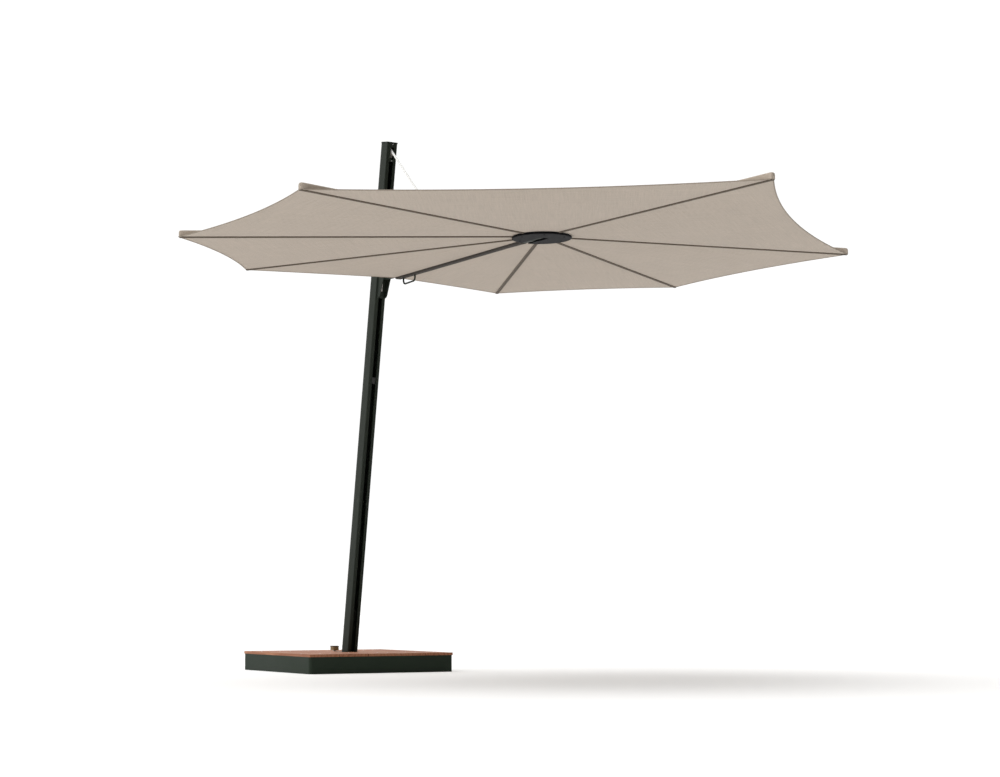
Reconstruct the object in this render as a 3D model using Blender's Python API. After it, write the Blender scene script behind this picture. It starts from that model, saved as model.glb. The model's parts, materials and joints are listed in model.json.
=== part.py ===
"""Cantilever parasol: a ballasted base, a leaning mast, a rope-stayed arm and a seven-rib canopy.

Frame: metres, +Z up, origin at the centre of the base's underside, +X the way the arm reaches.
"""

import math

import bmesh
import bpy
from mathutils import Matrix, Vector

# ---- driving dimensions ---------------------------------------------------------------------
GAP = 0.0003                    # running or seating gap between touching pieces

BASE_SIDE = 1.008               # deck, edge to edge
BASE_HEIGHT = 0.121             # floor to the top of the deck
BASE_TURN = math.radians(-5)    # the base stands a little off square under the turning mast
DECK_OVERHANG = 0.0015
DECK_THICKNESS = 0.016
DECK_GAP = 0.003
BOARD_COUNT = 5
TRAY_WALL = 0.004
TRAY_CORNER = 0.020
SLAB_SIDE = 0.380
SLAB_HEIGHT = 0.075
SLAB_OFFSET = 0.287             # slab centre from the base's middle lines
BATTEN_WIDTH = 0.060
BATTEN_OFFSET = 0.300
TURNTABLE_RADIUS = 0.080
DRUM_RADIUS = 0.055
BUSH_WALL = 0.006
HOUSING_WALL = 0.018
HOUSING_HEIGHT = 0.056

PEDAL_PIVOT = (-0.125, 0.050)   # X, Z of the pedal's pin
PEDAL_PIN_RADIUS = 0.004
PEDAL_LEVER_WIDTH = 0.018
PEDAL_TREAD = (0.048, 0.040, 0.0245)
PEDAL_CLEARANCE = 0.006         # tread above the deck
PEDAL_CENTRE_X = -0.187
PEDAL_SLOT = (0.020, 0.013)     # half length and half width of the stem's slot in the deck

MAST_LEAN = math.radians(7.95)  # towards the canopy
MAST_LENGTH = 3.414             # along the mast, to the top of its cap
MAST_WIDTH = 0.075
MAST_DEPTH = 0.101
MAST_WALL = 0.004
MAST_LIP = 0.006                # thickness of the front wall beside the track's mouth
MAST_MOUTH = 0.030
CAP_THICKNESS = 0.008
SPIGOT_TOP = 0.400
STOP_WIDTH, STOP_HEIGHT = 0.052, 0.040

SHEAVE_RADIUS = 0.034
SHEAVE_GROOVE = 0.028           # radius of the rope's centre line on the sheave
SHEAVE_WIDTH = 0.020
SHEAVE_FORWARD = 0.016          # axle ahead of the mast's middle plane
SHEAVE_DROP = 0.070             # axle below the mast's top
AXLE_RADIUS = 0.005
HEAD_PLATE = (0.004, 0.060, 0.118)
HEAD_SLOT = (0.024, 0.080)
HEAD_PLATE_RAISE = 0.002        # plate centre above the axle
HEAD_SLOT_LOWER = 0.004         # slot centre below the axle

PIVOT_X, PIVOT_Z = 0.448, 2.5160    # arm pivot on the carriage
ARM_RISE = math.radians(1.607)
ARM_REACH = 1.6897              # pivot to hub pin
ARM_WIDTH = 0.044
ARM_HEIGHT = 0.044
ARM_WALL = 0.003
ARM_ROOT_END = 0.040
ARM_TIP_START = 0.110           # the tube stops this far short of the hub pin
ARM_PIN_RADIUS = 0.006
LUG_REACH = 0.8109              # rope eye along the arm
LUG_RADIUS = 0.014
LUG_HOLE = 0.006
HANDLE_START, HANDLE_END = 0.207, 0.340
HANDLE_DEPTH = 0.058
HANDLE_CORNER = 0.022
HANDLE_RISE = 0.004             # grip's far end above its near end
HANDLE_ROD = 0.0055

CHEEK_THICKNESS = 0.005
CHEEK_GAP = ARM_WIDTH / 2 + 0.0015
CHEEK_NOSE = 0.018              # cheek ahead of the pivot
CHEEK_TOE = 0.0355              # cheek ahead of its base plate's back, at the foot
CARRIAGE_TOP, CARRIAGE_BOTTOM = 0.045, -0.143   # along the mast, from the pivot
CARRIAGE_TRAVEL = 0.5163        # down the track, from arm out to arm folded
SLIDER_INSET = 0.008            # slider shorter than its bracket at each end
TRACK_PLAY = 0.0008             # sliding gap in the track and its mouth

ROPE_RADIUS = 0.007
ROPE_EYE_GAP = 0.009

CANOPY_TILT = math.radians(1.375)   # the canopy's front stands a little high
HUB_ABOVE_DISC = 0.0264         # hub pin above the disc's underside
DISC_RADIUS = 0.174
DISC_THICKNESS = 0.010
SLOT_HALF_WIDTH = 0.026
SLOT_FRONT = 0.035
CASTING_RADIUS = 0.160
CASTING_PLATE = 0.008
CASTING_TOP = 0.058
RIB_HINGE_RADIUS = 0.197
RIB_HINGE_HEIGHT = 0.0335
RIB_WIDTH = 0.024
RIB_HEIGHT = 0.032
RIB_WALL = 0.002
RIB_PIN_RADIUS = 0.0035
RIB_TIP_INSET = 0.012           # rib stops short of the canopy's tip
SIDE_RIBS = ((0.0, 1.990), (74.6, 1.987), (118.8, 2.080), (152.3, 2.040))  # azimuth deg, tip radius
REAR_CORNER = 1.545             # canopy's rear corner behind the hub
REAR_CORNER_DROP = -0.012
CANOPY_INNER = 0.166
CANOPY_HUB_HEIGHT = 0.0132      # canopy's underside above the disc's underside
CANOPY_TIP_HEIGHT = -0.001
CANOPY_THICKNESS = 0.0025
CANOPY_SAG = 0.045              # edge hollow as a share of the span between tips
REAR_SAG = 0.015
EDGE_STEPS = 6


# ---- frames -----------------------------------------------------------------------------------
BASE_FRAME = Matrix.Rotation(BASE_TURN, 4, "Z")
MAST_FRAME = Matrix.Rotation(MAST_LEAN, 4, "Y")
ARM_FRAME = Matrix.Translation((PIVOT_X, 0, PIVOT_Z)) @ Matrix.Rotation(-ARM_RISE, 4, "Y")
HUB_PIN = ARM_FRAME @ Vector((ARM_REACH, 0, 0))
CANOPY_FRAME = (Matrix.Translation(HUB_PIN) @ Matrix.Rotation(-CANOPY_TILT, 4, "Y")
                @ Matrix.Translation((0, 0, -HUB_ABOVE_DISC)))
PIVOT_ON_MAST = MAST_FRAME.inverted() @ Vector((PIVOT_X, 0, PIVOT_Z))
DECK_BOTTOM = BASE_HEIGHT - DECK_THICKNESS

MATERIALS = {
    "frame_paint": ((0.035, 0.041, 0.035), 0.45, 0.6),
    "base_paint": ((0.035, 0.045, 0.036), 0.5, 0.3),
    "teak": ((0.36, 0.17, 0.09), 0.6, 0.0),
    "tread_wood": ((0.23, 0.16, 0.08), 0.6, 0.0),
    "stone": ((0.35, 0.34, 0.32), 0.9, 0.0),
    "steel": ((0.55, 0.55, 0.56), 0.3, 1.0),
    "pulley": ((0.55, 0.55, 0.54), 0.5, 0.0),
    "bronze": ((0.45, 0.31, 0.14), 0.4, 1.0),
    "rubber": ((0.02, 0.02, 0.02), 0.8, 0.0),
    "nylon": ((0.05, 0.05, 0.05), 0.5, 0.0),
    "hub_paint": ((0.032, 0.032, 0.036), 0.4, 0.3),
    "rib_paint": ((0.12, 0.10, 0.08), 0.45, 0.4),
    "canopy_fabric": ((0.46, 0.39, 0.32), 0.9, 0.0),
    "rope": ((0.85, 0.85, 0.83), 0.8, 0.0),
}


# ---- modelling helpers --------------------------------------------------------------------------
def clear_scene():
    for obj in list(bpy.data.objects):
        bpy.data.objects.remove(obj, do_unlink=True)


def make_materials():
    for name, (colour, roughness, metallic) in MATERIALS.items():
        material = bpy.data.materials.new(name)
        material.use_nodes = True
        shader = material.node_tree.nodes["Principled BSDF"]
        shader.inputs["Base Color"].default_value = (*colour, 1)
        shader.inputs["Roughness"].default_value = roughness
        shader.inputs["Metallic"].default_value = metallic
        MATERIALS[name] = material


def add_object(name, bm, material, frame):
    """Turn a bmesh into a named, smooth-shaded object placed by a frame."""
    bmesh.ops.recalc_face_normals(bm, faces=bm.faces)
    mesh = bpy.data.meshes.new(name)
    bm.to_mesh(mesh)
    bm.free()
    mesh.shade_smooth()
    mesh.set_sharp_from_angle(angle=math.radians(30))
    obj = bpy.data.objects.new(name, mesh)
    bpy.context.collection.objects.link(obj)
    obj.matrix_world = frame
    if material:
        mesh.materials.append(MATERIALS[material])
    return obj


def loft(name, rings, material, frame):
    """A closed solid through rings of points, each ring a list of the same length."""
    bm = bmesh.new()
    loops = [[bm.verts.new(point) for point in ring] for ring in rings]
    count = len(loops[0])
    for low, high in zip(loops, loops[1:]):
        for i in range(count):
            j = (i + 1) % count
            bm.faces.new((low[i], low[j], high[j], high[i]))
    bm.faces.new(loops[0][::-1])
    bm.faces.new(loops[-1])
    return add_object(name, bm, material, frame)


def prism(name, outline, low, high, axis, material, frame):
    """An outline of (a, b) points pushed along one axis from low to high."""
    place = {
        "x": lambda a, b, c: (c, a, b),
        "y": lambda a, b, c: (a, c, b),
        "z": lambda a, b, c: (a, b, c),
    }[axis]
    rings = [[place(a, b, level) for a, b in outline] for level in (low, high)]
    return loft(name, rings, material, frame)


def tube(name, outer, inner, low, high, material, frame):
    """An open-ended hollow bar along x with matching outer and inner outlines in (y, z)."""
    bm = bmesh.new()
    loops = [[bm.verts.new((x, a, b)) for a, b in outline]
             for x, outline in ((low, outer), (high, outer), (high, inner), (low, inner))]
    count = len(outer)
    for k in range(4):
        here, there = loops[k], loops[(k + 1) % 4]
        for i in range(count):
            j = (i + 1) % count
            bm.faces.new((here[i], here[j], there[j], there[i]))
    return add_object(name, bm, material, frame)


def turned(name, profile, segments, material, frame):
    """A closed profile of (radius, z) points turned about z; radius 0 makes a pole."""
    bm = bmesh.new()
    rings = []
    for radius, z in profile:
        if radius == 0:
            rings.append([bm.verts.new((0, 0, z))])
            continue
        angles = [2 * math.pi * i / segments for i in range(segments)]
        rings.append([bm.verts.new((radius * math.cos(a), radius * math.sin(a), z)) for a in angles])
    pole_ends = profile[0][0] == 0 and profile[-1][0] == 0
    pairs = list(zip(rings, rings[1:])) if pole_ends else list(zip(rings, rings[1:] + rings[:1]))
    for low, high in pairs:
        for i in range(segments):
            j = (i + 1) % segments
            corners = [low[i % len(low)], low[j % len(low)], high[j % len(high)], high[i % len(high)]]
            unique = list(dict.fromkeys(corners))
            bm.faces.new(unique)
    return add_object(name, bm, material, frame)


def rounded_box(half_a, half_b, radius, steps=3, centre=(0.0, 0.0)):
    """Outline of a rectangle with round corners."""
    points = []
    for k, (sa, sb) in enumerate(((1, 1), (-1, 1), (-1, -1), (1, -1))):
        for i in range(steps + 1):
            angle = math.radians(90) * (k + i / steps)
            points.append((centre[0] + sa * (half_a - radius) + radius * math.cos(angle),
                           centre[1] + sb * (half_b - radius) + radius * math.sin(angle)))
    return points


def arc(centre, radius, start_deg, end_deg, steps):
    """Points along a circular arc, both ends included."""
    points = []
    for i in range(steps + 1):
        angle = math.radians(start_deg + (end_deg - start_deg) * i / steps)
        points.append((centre[0] + radius * math.cos(angle), centre[1] + radius * math.sin(angle)))
    return points


def rod(name, start, end, radius, material, frame, segments=20):
    """A plain round bar between two points."""
    start, end = Vector(start), Vector(end)
    turn = Vector((0, 0, 1)).rotation_difference(end - start).to_matrix().to_4x4()
    rings = [[turn @ Vector((radius * math.cos(a), radius * math.sin(a), 0)) + centre
              for a in (2 * math.pi * i / segments for i in range(segments))]
             for centre in (start, end)]
    return loft(name, rings, material, frame)


def combine(target, other, operation):
    """Apply an exact Boolean of another object to the target, then drop the other object."""
    bpy.context.view_layer.update()
    modifier = target.modifiers.new(operation, "BOOLEAN")
    modifier.operation = operation
    modifier.solver = "EXACT"
    modifier.object = other
    bpy.context.view_layer.update()
    graph = bpy.context.evaluated_depsgraph_get()
    mesh = bpy.data.meshes.new_from_object(target.evaluated_get(graph))
    target.modifiers.clear()
    target.data = mesh
    mesh.set_sharp_from_angle(angle=math.radians(30))
    bpy.data.objects.remove(other, do_unlink=True)


def cut(target, cutter):
    combine(target, cutter, "DIFFERENCE")


def join(target, other):
    combine(target, other, "UNION")


# ---- base ---------------------------------------------------------------------------------------
def base_tray():
    half = BASE_SIDE / 2 - DECK_OVERHANG
    tray = prism("base_tray", rounded_box(half, half, TRAY_CORNER, 4), 0, DECK_BOTTOM - GAP,
                 "z", "base_paint", BASE_FRAME)
    inside = half - TRAY_WALL
    cut(tray, prism("cutter", rounded_box(inside, inside, TRAY_CORNER - TRAY_WALL, 4),
                    TRAY_WALL, DECK_BOTTOM + TRAY_WALL, "z", None, BASE_FRAME))


def ballast():
    bottom = TRAY_WALL + GAP
    number = 1
    for x in (-SLAB_OFFSET, SLAB_OFFSET):
        for y in (-SLAB_OFFSET, SLAB_OFFSET):
            outline = rounded_box(SLAB_SIDE / 2, SLAB_SIDE / 2, 0.012, 2, (x, y))
            prism(f"ballast_slab_{number}", outline, bottom, bottom + SLAB_HEIGHT, "z", "stone", BASE_FRAME)
            number += 1


def deck():
    """Boards along X over two battens, cut round the turntable and the pedal's stem."""
    slab_top = TRAY_WALL + GAP + SLAB_HEIGHT
    batten_length = BASE_SIDE / 2 - DECK_OVERHANG - TRAY_WALL - 0.004
    for name, x in (("deck_batten_rear", -BATTEN_OFFSET), ("deck_batten_front", BATTEN_OFFSET)):
        prism(name, rounded_box(BATTEN_WIDTH / 2, batten_length, 0.002, 1, (x, 0)),
              slab_top + GAP, DECK_BOTTOM - GAP, "z", "teak", BASE_FRAME)
    pitch = BASE_SIDE / BOARD_COUNT
    for number in range(BOARD_COUNT):
        y = (number + 0.5) * pitch - BASE_SIDE / 2
        outline = rounded_box(BASE_SIDE / 2, pitch / 2 - DECK_GAP / 2, 0.004, 2, (0, y))
        board = prism(f"deck_board_{number + 1}", outline, DECK_BOTTOM, BASE_HEIGHT, "z", "teak", BASE_FRAME)
        if abs(y) < pitch / 2:
            below, above = DECK_BOTTOM - 0.01, BASE_HEIGHT + 0.01
            cut(board, prism("cutter", arc((0, 0), TURNTABLE_RADIUS + 0.001, 0, 352.5, 47),
                             below, above, "z", None, BASE_FRAME))
            cut(board, prism("cutter", rounded_box(*PEDAL_SLOT, 0.004, 2, (PEDAL_CENTRE_X - 0.006, 0)),
                             below, above, "z", None, BASE_FRAME))


def bearing():
    """A housing on the tray's floor with a bronze bush for the turning drum."""
    bottom = TRAY_WALL + GAP
    bush_outer = DRUM_RADIUS + GAP + BUSH_WALL
    housing_inner = bush_outer + GAP
    turned("bearing_housing",
           [(housing_inner, bottom), (housing_inner + HOUSING_WALL + 0.008, bottom),
            (housing_inner + HOUSING_WALL + 0.008, bottom + 0.008),
            (housing_inner + HOUSING_WALL, bottom + 0.012),
            (housing_inner + HOUSING_WALL, bottom + HOUSING_HEIGHT),
            (housing_inner, bottom + HOUSING_HEIGHT)],
           40, "base_paint", BASE_FRAME)
    turned("bearing_bush",
           [(DRUM_RADIUS + GAP, bottom), (bush_outer, bottom), (bush_outer, bottom + HOUSING_HEIGHT),
            (DRUM_RADIUS + GAP, bottom + HOUSING_HEIGHT)], 40, "bronze", BASE_FRAME)


def pedal_bracket():
    """A U-shaped bracket on the tray's floor that holds the pedal's pin."""
    x, z = PEDAL_PIVOT
    inner, outer = PEDAL_LEVER_WIDTH / 2 + 0.002, PEDAL_LEVER_WIDTH / 2 + 0.007
    bottom = TRAY_WALL + GAP
    outline = [(-outer, bottom), (outer, bottom), (outer, z + 0.012), (inner, z + 0.012),
               (inner, bottom + 0.005), (-inner, bottom + 0.005), (-inner, z + 0.012), (-outer, z + 0.012)]
    bracket = prism("pedal_bracket", outline, x - 0.016, x + 0.016, "x", "steel", BASE_FRAME)
    cut(bracket, rod("cutter", (x, -0.05, z), (x, 0.05, z), PEDAL_PIN_RADIUS + GAP, None, BASE_FRAME))
    rod("pedal_pin", (x, -outer - 0.003, z), (x, outer + 0.003, z), PEDAL_PIN_RADIUS, "steel", BASE_FRAME)


def pedal():
    """A crank: the tread pushes it down and the shoe at its other end leaves the drum."""
    x, z = PEDAL_PIVOT
    frame = BASE_FRAME @ Matrix.Translation((x, 0, z))
    half = PEDAL_LEVER_WIDTH / 2
    tread_length, tread_width, tread_height = PEDAL_TREAD
    tread_x = PEDAL_CENTRE_X - x
    stem_top = BASE_HEIGHT + PEDAL_CLEARANCE - GAP - z
    shoe_x = -DRUM_RADIUS - 0.0203 - x
    outline = [(tread_x - 0.008, stem_top), (tread_x - 0.008, 0.046), (-0.010, -0.006), (-0.004, -0.011),
               (0.006, -0.010), (shoe_x, 0.022), (shoe_x, 0.042), (shoe_x - 0.010, 0.042),
               (-0.004, 0.014), (tread_x + 0.008, 0.050), (tread_x + 0.008, stem_top)]
    lever = prism("pedal_lever", outline, -half, half, "y", "steel", frame)
    cut(lever, rod("cutter", (0, -0.05, 0), (0, 0.05, 0), PEDAL_PIN_RADIUS + GAP, None, frame))
    prism("brake_shoe", rounded_box(0.0094, 0.010, 0.002, 1, (shoe_x + GAP + 0.0094, 0.032)),
          -0.014, 0.014, "y", "rubber", frame)
    low = stem_top + GAP
    prism("pedal_tread", rounded_box(tread_length / 2, tread_width / 2, 0.004, 2, (tread_x, 0)),
          low, low + tread_height, "z", "tread_wood", frame)
    cover = low + tread_height + GAP
    lid = rounded_box(tread_length / 2 + 0.002, tread_width / 2 + 0.002, 0.005, 2, (tread_x, 0))
    prism("pedal_cover", lid, cover, cover + 0.004, "z", "frame_paint", frame)


# ---- mast ----------------------------------------------------------------------------------------
def mast_outline():
    """Round back, flat front, one open track with its mouth in the front wall: (forward, side)."""
    half_w, half_d = MAST_WIDTH / 2, MAST_DEPTH / 2
    inner_w = half_w - MAST_WALL
    back = half_w - half_d
    mouth = MAST_MOUTH / 2
    right = [(half_d, mouth), *arc((half_d - 0.006, half_w - 0.006), 0.006, 0, 90, 3)]
    rounded_back = arc((back, 0), half_w, 90, 270, 14)
    left = [(a, -b) for a, b in right[::-1]]
    track_front = half_d - MAST_LIP
    inside_left = [(track_front, -mouth), (track_front, -inner_w)]
    inside_back = arc((back, 0), inner_w, 270, 90, 14)
    inside_right = [(track_front, inner_w), (track_front, mouth)]
    return right + rounded_back + left + inside_left + inside_back + inside_right


def on_floor(outline, floor, top):
    """Rings of a leaning prism in the mast's frame whose lower end is cut level at a height."""
    def level(forward):
        return (floor + forward * math.sin(MAST_LEAN)) / math.cos(MAST_LEAN)
    return [[(a, b, level(a)) for a, b in outline], [(a, b, top) for a, b in outline]]


def mast():
    plate_top = BASE_HEIGHT + GAP
    top = MAST_LENGTH - CAP_THICKNESS - GAP
    profile = loft("mast_profile", on_floor(mast_outline(), plate_top, top), "frame_paint", MAST_FRAME)
    axle_height = MAST_LENGTH - SHEAVE_DROP
    side = MAST_WIDTH
    cut(profile, rod("cutter", (SHEAVE_FORWARD, -side, axle_height), (SHEAVE_FORWARD, side, axle_height),
                     AXLE_RADIUS + GAP, None, MAST_FRAME))
    fit, front = MAST_WIDTH / 2 - MAST_WALL - 0.003, 0.006
    spigot = [(front, fit), *arc((MAST_WIDTH / 2 - MAST_DEPTH / 2, 0), fit, 90, 270, 8), (front, -fit)]
    loft("mast_spigot", on_floor(spigot, plate_top, SPIGOT_TOP), "frame_paint", MAST_FRAME)
    cap_low = MAST_LENGTH - CAP_THICKNESS
    prism("mast_cap", cap_outline(0.002), cap_low, MAST_LENGTH, "z", "frame_paint", MAST_FRAME)


def cap_outline(overhang):
    """The mast's outer outline grown by an overhang."""
    half_w, half_d = MAST_WIDTH / 2 + overhang, MAST_DEPTH / 2 + overhang
    front = arc((half_d - 0.006, half_w - 0.006), 0.006, 0, 90, 3)
    back = arc((MAST_WIDTH / 2 - MAST_DEPTH / 2, 0), half_w, 90, 270, 14)
    return front + back + [(a, -b) for a, b in front[::-1]]


def turret():
    """Turntable plate, flush with the deck, on the drum that turns in the bush."""
    low, plate_low = TRAY_WALL + 2 * GAP, DECK_BOTTOM + GAP
    turned("turret", [(0, low), (DRUM_RADIUS, low), (DRUM_RADIUS, plate_low), (TURNTABLE_RADIUS, plate_low),
                      (TURNTABLE_RADIUS, BASE_HEIGHT), (0, BASE_HEIGHT)], 48, "frame_paint", Matrix())


def mast_head():
    """Slotted front plate, sheave and axle at the top of the mast."""
    thickness, width, height = HEAD_PLATE
    front = MAST_DEPTH / 2 + GAP
    centre = MAST_LENGTH - SHEAVE_DROP
    plate = prism("head_plate", rounded_box(width / 2, height / 2, 0.005, 3, (0, centre + HEAD_PLATE_RAISE)),
                  front, front + thickness, "x", "frame_paint", MAST_FRAME)
    cut(plate, prism("cutter", rounded_box(HEAD_SLOT[0] / 2, HEAD_SLOT[1] / 2, 0.008, 3,
                                           (0, centre - HEAD_SLOT_LOWER)),
                     front - 0.01, front + 0.01, "x", None, MAST_FRAME))
    axle = MAST_FRAME @ Matrix.Translation((SHEAVE_FORWARD, 0, centre))
    reach = MAST_WIDTH / 2
    rod("sheave_axle", (0, -reach, 0), (0, reach, 0), AXLE_RADIUS, "frame_paint", axle)
    groove, half, seat = SHEAVE_GROOVE - ROPE_RADIUS, SHEAVE_WIDTH / 2, ROPE_RADIUS + 0.0006
    turned("sheave", [(AXLE_RADIUS + GAP, -half), (SHEAVE_RADIUS, -half), (SHEAVE_RADIUS, -half + 0.0015),
                      (groove - GAP, -seat), (groove - GAP, seat), (SHEAVE_RADIUS, half - 0.0015),
                      (SHEAVE_RADIUS, half), (AXLE_RADIUS + GAP, half)],
           36, "pulley", axle @ Matrix.Rotation(math.radians(90), 4, "X"))


def track_stop():
    """A block in the track, behind its mouth, that the carriage comes down to."""
    track, side = MAST_DEPTH / 2 - MAST_LIP - TRACK_PLAY, STOP_WIDTH / 2
    top = PIVOT_ON_MAST.z + CARRIAGE_BOTTOM + SLIDER_INSET - CARRIAGE_TRAVEL - 0.002
    prism("track_stop", [(0.010, -side), (track, -side), (track, side), (0.010, side)],
          top - STOP_HEIGHT, top, "z", "nylon", MAST_FRAME)


# ---- carriage --------------------------------------------------------------------------------------
def carriage():
    """A slider in the track with a neck through its mouth, and a bracket with two cheeks outside."""
    low, high = PIVOT_ON_MAST.z + CARRIAGE_BOTTOM, PIVOT_ON_MAST.z + CARRIAGE_TOP
    front = MAST_DEPTH / 2
    track = front - MAST_LIP - TRACK_PLAY
    neck, side = MAST_MOUTH / 2 - TRACK_PLAY, MAST_WIDTH / 2 - MAST_WALL - 0.0035
    outline = [(-0.024, -side), (track, -side), (track, -neck), (front + 0.0007, -neck),
               (front + 0.0007, neck), (track, neck), (track, side), (-0.024, side)]
    prism("carriage_slider", outline, low + SLIDER_INSET, high - SLIDER_INSET, "z", "frame_paint",
          MAST_FRAME)
    for name, sign in (("guide_pad_left", 1), ("guide_pad_right", -1)):
        inner, outer = sign * (side + GAP), sign * (side + 0.0032)
        prism(name, [(-0.010, inner), (0.030, inner), (0.030, outer), (-0.010, outer)],
              low + 0.012, high - 0.012, "z", "nylon", MAST_FRAME)
    carriage_bracket(low, high, front + 0.001)


def carriage_bracket(low, high, back):
    """Base plate with two tapering cheeks, drawn as one channel cut to the cheeks' side view."""
    nose, toe = PIVOT_ON_MAST.x + CHEEK_NOSE, back + CHEEK_TOE
    outer, inner = CHEEK_GAP + CHEEK_THICKNESS, CHEEK_GAP
    channel = [(back, -outer), (nose, -outer), (nose, -inner), (back + 0.006, -inner),
               (back + 0.006, inner), (nose, inner), (nose, outer), (back, outer)]
    bracket = prism("carriage_bracket", channel, low, high, "z", "frame_paint", MAST_FRAME)
    corner, toe_radius = back + 0.014, 0.034
    side_view = [(back - 0.01, high + 0.01), (corner, high + 0.01), (corner, high - 0.004),
                 *arc((PIVOT_ON_MAST.x, PIVOT_ON_MAST.z), CHEEK_NOSE, 70, -12, 6),
                 *arc((toe - toe_radius, low + toe_radius), toe_radius, -12, -90, 5), (back - 0.01, low)]
    combine(bracket, prism("cutter", side_view, -0.08, 0.08, "y", None, MAST_FRAME), "INTERSECT")
    pin = ARM_PIN_RADIUS
    cut(bracket, rod("cutter", (PIVOT_X, -0.1, PIVOT_Z), (PIVOT_X, 0.1, PIVOT_Z), pin + GAP, None, Matrix()))
    rod("arm_pivot_pin", (PIVOT_X, -outer - 0.003, PIVOT_Z), (PIVOT_X, outer + 0.003, PIVOT_Z),
        pin, "frame_paint", Matrix())


# ---- arm ---------------------------------------------------------------------------------------------
def stepped_bar(name, sections, material, frame):
    """A bar along x through (x, half width, half height) sections; equal x makes a square step."""
    rings = [[(x, a, b) for a, b in rounded_box(w, h, 0.007, 1)] for x, w, h in sections]
    return loft(name, rings, material, frame)


def arm():
    half_w, half_h = ARM_WIDTH / 2, ARM_HEIGHT / 2
    tube_end = ARM_REACH - ARM_TIP_START
    tube("arm_tube", rounded_box(half_w, half_h, 0.008, 3),
         rounded_box(half_w - ARM_WALL, half_h - ARM_WALL, 0.005, 3), ARM_ROOT_END, tube_end,
         "frame_paint", ARM_FRAME)
    plug_w, plug_h = half_w - ARM_WALL - GAP, half_h - ARM_WALL - GAP
    step = ARM_ROOT_END - GAP
    root = stepped_bar("arm_root", [(-0.017, half_w - 0.001, 0.014), (-0.006, half_w - 0.001, half_h),
                                    (step, half_w - 0.001, half_h), (step, plug_w, plug_h),
                                    (0.120, plug_w, plug_h)], "frame_paint", ARM_FRAME)
    cut(root, rod("cutter", (0, -0.1, 0), (0, 0.1, 0), ARM_PIN_RADIUS + GAP, None, ARM_FRAME))
    step = tube_end + GAP
    tip = stepped_bar("arm_tip", [(tube_end - 0.090, plug_w, plug_h), (step, plug_w, plug_h),
                                  (step, half_w, half_h), (step + 0.020, half_w, half_h),
                                  (step + 0.026, 0.015, 0.020), (ARM_REACH + 0.012, 0.015, 0.020),
                                  (ARM_REACH + 0.020, 0.015, 0.012)], "frame_paint", ARM_FRAME)
    cut(tip, rod("cutter", (ARM_REACH, -0.1, 0), (ARM_REACH, 0.1, 0), ARM_PIN_RADIUS + GAP, None, ARM_FRAME))


def rope_lug():
    """A welded eye on top of the arm that takes the rope."""
    low = ARM_HEIGHT / 2 + GAP
    eye = low + LUG_RADIUS + 0.001
    outline = [(LUG_REACH + 0.030, low), (LUG_REACH + 0.030, low + 0.005),
               *arc((LUG_REACH, eye), LUG_RADIUS, -25, 205, 12), (LUG_REACH - 0.030, low + 0.005),
               (LUG_REACH - 0.030, low)]
    lug = prism("rope_lug", outline, -0.005, 0.005, "y", "steel", ARM_FRAME)
    cut(lug, rod("cutter", (LUG_REACH, -0.1, eye), (LUG_REACH, 0.1, eye), LUG_HOLE, None, ARM_FRAME, 16))


def arm_handle():
    """A D-shaped rod handle under the arm, drawn as a swept curve."""
    top = -ARM_HEIGHT / 2 - GAP
    low = top - HANDLE_DEPTH
    near, far, corner = HANDLE_START, HANDLE_END, HANDLE_CORNER
    path = [(near, top), *arc((near + corner, low + corner), corner, 180, 270, 6),
            *arc((far - corner, low + HANDLE_RISE + corner), corner, 270, 360, 6), (far, top)]
    curve = bpy.data.curves.new("arm_handle", "CURVE")
    curve.dimensions = "3D"
    curve.bevel_depth = HANDLE_ROD
    curve.bevel_resolution = 2
    curve.use_fill_caps = True
    spline = curve.splines.new("POLY")
    spline.points.add(len(path) - 1)
    for point, (x, z) in zip(spline.points, path):
        point.co = (x, 0, z, 1)
    handle = bpy.data.objects.new("arm_handle", curve)
    bpy.context.collection.objects.link(handle)
    handle.matrix_world = ARM_FRAME
    curve.materials.append(MATERIALS["frame_paint"])


# ---- rope -----------------------------------------------------------------------------------------------
def sheave_centre():
    return MAST_FRAME @ Vector((SHEAVE_FORWARD, 0, MAST_LENGTH - SHEAVE_DROP))


def rope_eye():
    return ARM_FRAME @ Vector((LUG_REACH, 0, ARM_HEIGHT / 2 + GAP + LUG_RADIUS + 0.001))


def rope_top():
    """Where the rope leaves the sheave: the tangent over its front from the eye on the arm."""
    centre, eye = sheave_centre(), rope_eye()
    reach = eye - centre
    lift = math.acos(SHEAVE_GROOVE / reach.length)
    angle = math.atan2(reach.z, reach.x) + lift
    return centre + SHEAVE_GROOVE * Vector((math.cos(angle), 0, math.sin(angle)))


def straight_rope(name, start, end):
    """A taut rope as a bevelled curve with filled ends."""
    curve = bpy.data.curves.new(name, "CURVE")
    curve.dimensions = "3D"
    curve.bevel_depth = ROPE_RADIUS
    curve.bevel_resolution = 2
    curve.use_fill_caps = True
    spline = curve.splines.new("POLY")
    spline.points.add(1)
    for point, place in zip(spline.points, (start, end)):
        point.co = (*place, 1)
    rope = bpy.data.objects.new(name, curve)
    bpy.context.collection.objects.link(rope)
    curve.materials.append(MATERIALS["rope"])


def rope():
    """One taut rope in two straight strands: arm to sheave, and sheave down the track to the carriage."""
    top, eye = rope_top(), rope_eye()
    along = (eye - top).normalized()
    straight_rope("rope_upper", top + along * GAP, eye - along * (LUG_RADIUS + ROPE_EYE_GAP))
    behind = SHEAVE_FORWARD - SHEAVE_GROOVE
    head = MAST_FRAME @ Vector((behind, 0, MAST_LENGTH - SHEAVE_DROP - GAP))
    foot = MAST_FRAME @ Vector((behind, 0, PIVOT_ON_MAST.z + CARRIAGE_TOP - SLIDER_INSET + GAP))
    straight_rope("rope_lower", head, foot)


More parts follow.
